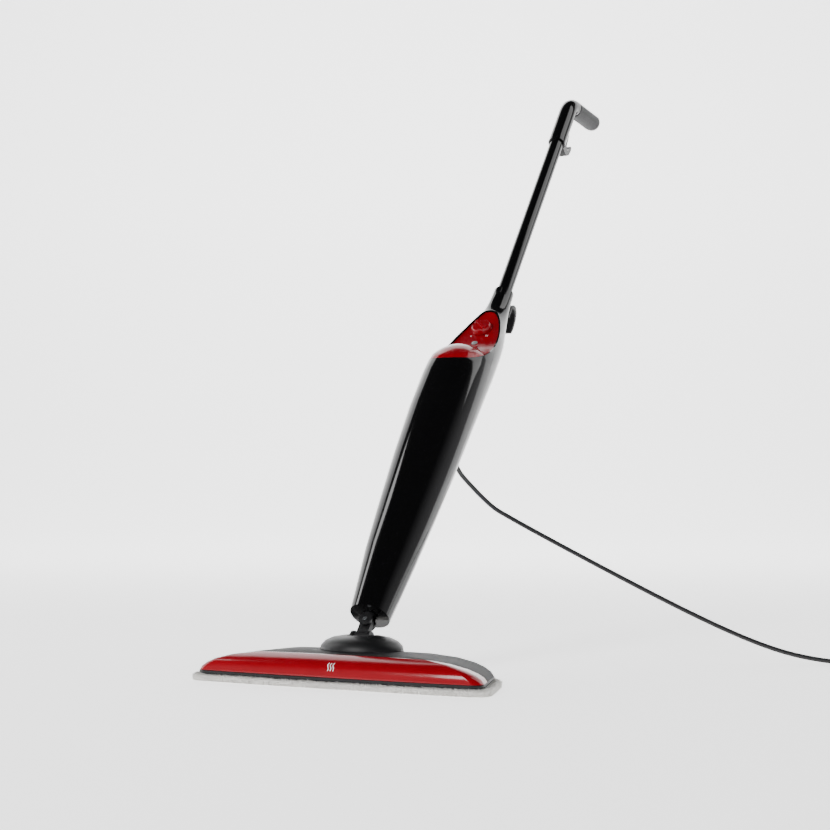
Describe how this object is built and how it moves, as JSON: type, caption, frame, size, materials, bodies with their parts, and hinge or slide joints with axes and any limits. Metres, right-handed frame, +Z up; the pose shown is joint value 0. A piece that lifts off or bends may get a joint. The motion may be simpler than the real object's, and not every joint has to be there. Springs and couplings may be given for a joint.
{
  "type": "steam mop",
  "caption": "Upright steam mop with a hinged wide floor head, a rear water and boiler body, a slim tube and a cane grip.",
  "frame": {"origin": "on the floor, at the pad's underside, straight below the lower hinge of the head", "axes": "+Z up, +X along the head's width, -Y towards the red front edge; the pole leans back to +Y and +Z"},
  "size_m": [0.831, 0.9517, 0.8833],
  "materials": {
    "cover_gloss": "polished",
    "grip_gloss": "polished",
    "grip_soft": "textured",
    "red_gloss": "polished",
    "head_grey": "satin",
    "black_satin": "satin",
    "zinc_steel": "plain",
    "boiler_alloy": "cast",
    "pin_brass": "plain",
    "lens_clear": "clear",
    "tank_clear": "clear",
    "white_nylon": "satin",
    "coil_copper": "enamelled wire",
    "board_green": "printed board",
    "hose_silicone": "silicone",
    "gland_rubber": "moulded",
    "cord_pvc": "satin",
    "tie_velvet": "hook and loop",
    "strip_hooks": "hook tape",
    "pad_cloth": "terry microfibre"
  },
  "bodies": {
    "upper": {"front_cover": "cover_gloss", "rear_shell": "cover_gloss", "body_screw_1": "zinc_steel", "body_screw_2": "zinc_steel", "body_screw_3": "zinc_steel", "body_screw_4": "zinc_steel", "control_panel": "red_gloss", "steam_selector": "black_satin", "indicator_lens": "lens_clear", "lid_pin": "zinc_steel", "water_tank": "tank_clear", "water_filter": "white_nylon", "pump_body": "white_nylon", "pump_coil": "coil_copper", "circuit_board": "board_green", "terminal_block": "white_nylon", "boiler": "boiler_alloy", "heating_element": "zinc_steel", "thermostat": "black_satin", "thermal_fuse": "zinc_steel", "boiler_bracket": "zinc_steel", "water_hose": "hose_silicone", "feed_hose": "hose_silicone", "steam_hose": "hose_silicone", "pole_tube": "cover_gloss", "tube_socket": "black_satin", "button_spring": "zinc_steel", "hook_axle": "zinc_steel", "grip_body": "grip_gloss", "grip_insert": "grip_soft", "grip_screw": "zinc_steel", "cord_gland": "gland_rubber", "neck_fork": "black_satin", "roll_pin": "zinc_steel", "cord_run": "cord_pvc", "cord_coil": "cord_pvc", "coil_tie": "tie_velvet", "mains_plug": "black_satin", "plug_pin_1": "pin_brass", "plug_pin_2": "pin_brass"},
    "knuckle": {"knuckle": "black_satin"},
    "head": {"pivot_bracket": "black_satin", "pitch_pin": "zinc_steel", "base_plate": "black_satin", "base_screw_1": "zinc_steel", "base_screw_2": "zinc_steel", "base_screw_3": "zinc_steel", "base_screw_4": "zinc_steel", "front_trim": "red_gloss", "top_shell": "head_grey", "swivel_cover": "black_satin", "hook_strip_front": "strip_hooks", "hook_strip_rear": "strip_hooks", "microfibre_pad": "pad_cloth"},
    "knob": {"steam_knob": "red_gloss", "knob_shaft": "white_nylon"},
    "lid": {"filler_lid": "red_gloss", "lid_seal": "hose_silicone"},
    "button": {"release_button": "grip_gloss"},
    "hook": {"cord_hook": "black_satin"}
  },
  "joints": [
    {"name": "roll", "type": "hinge", "parent": "upper", "child": "knuckle", "pos_m": [0, 0.01543, 0.07239], "axis": [0, 0.766, -0.6428], "range_deg": [-35, 35]},
    {"name": "pitch", "type": "hinge", "parent": "knuckle", "child": "head", "pos_m": [0, 0, 0.054], "axis": [1, 0, 0], "range_deg": [-40, 10]},
    {"name": "steam_dial", "type": "hinge", "parent": "upper", "child": "knob", "pos_m": [0, 0.37879, 0.46919], "axis": [0, -0.6144, 0.789], "range_deg": [-60, 60]},
    {"name": "filler_lid", "type": "hinge", "parent": "upper", "child": "lid", "pos_m": [0, 0.32159, 0.43881], "axis": [1, 0, 0], "range_deg": [-80, 0]},
    {"name": "tube_release", "type": "slide", "parent": "upper", "child": "button", "axis": [0, 0.766, -0.6428], "range_m": [0, 0.0022], "stiffness_N_per_m": 500, "springref_m": -0.001},
    {"name": "cord_hook_turn", "type": "hinge", "parent": "upper", "child": "hook", "pos_m": [0, 0.4613, 0.50108], "axis": [0, 0.766, -0.6428], "range_deg": [0, 180]}
  ]
}
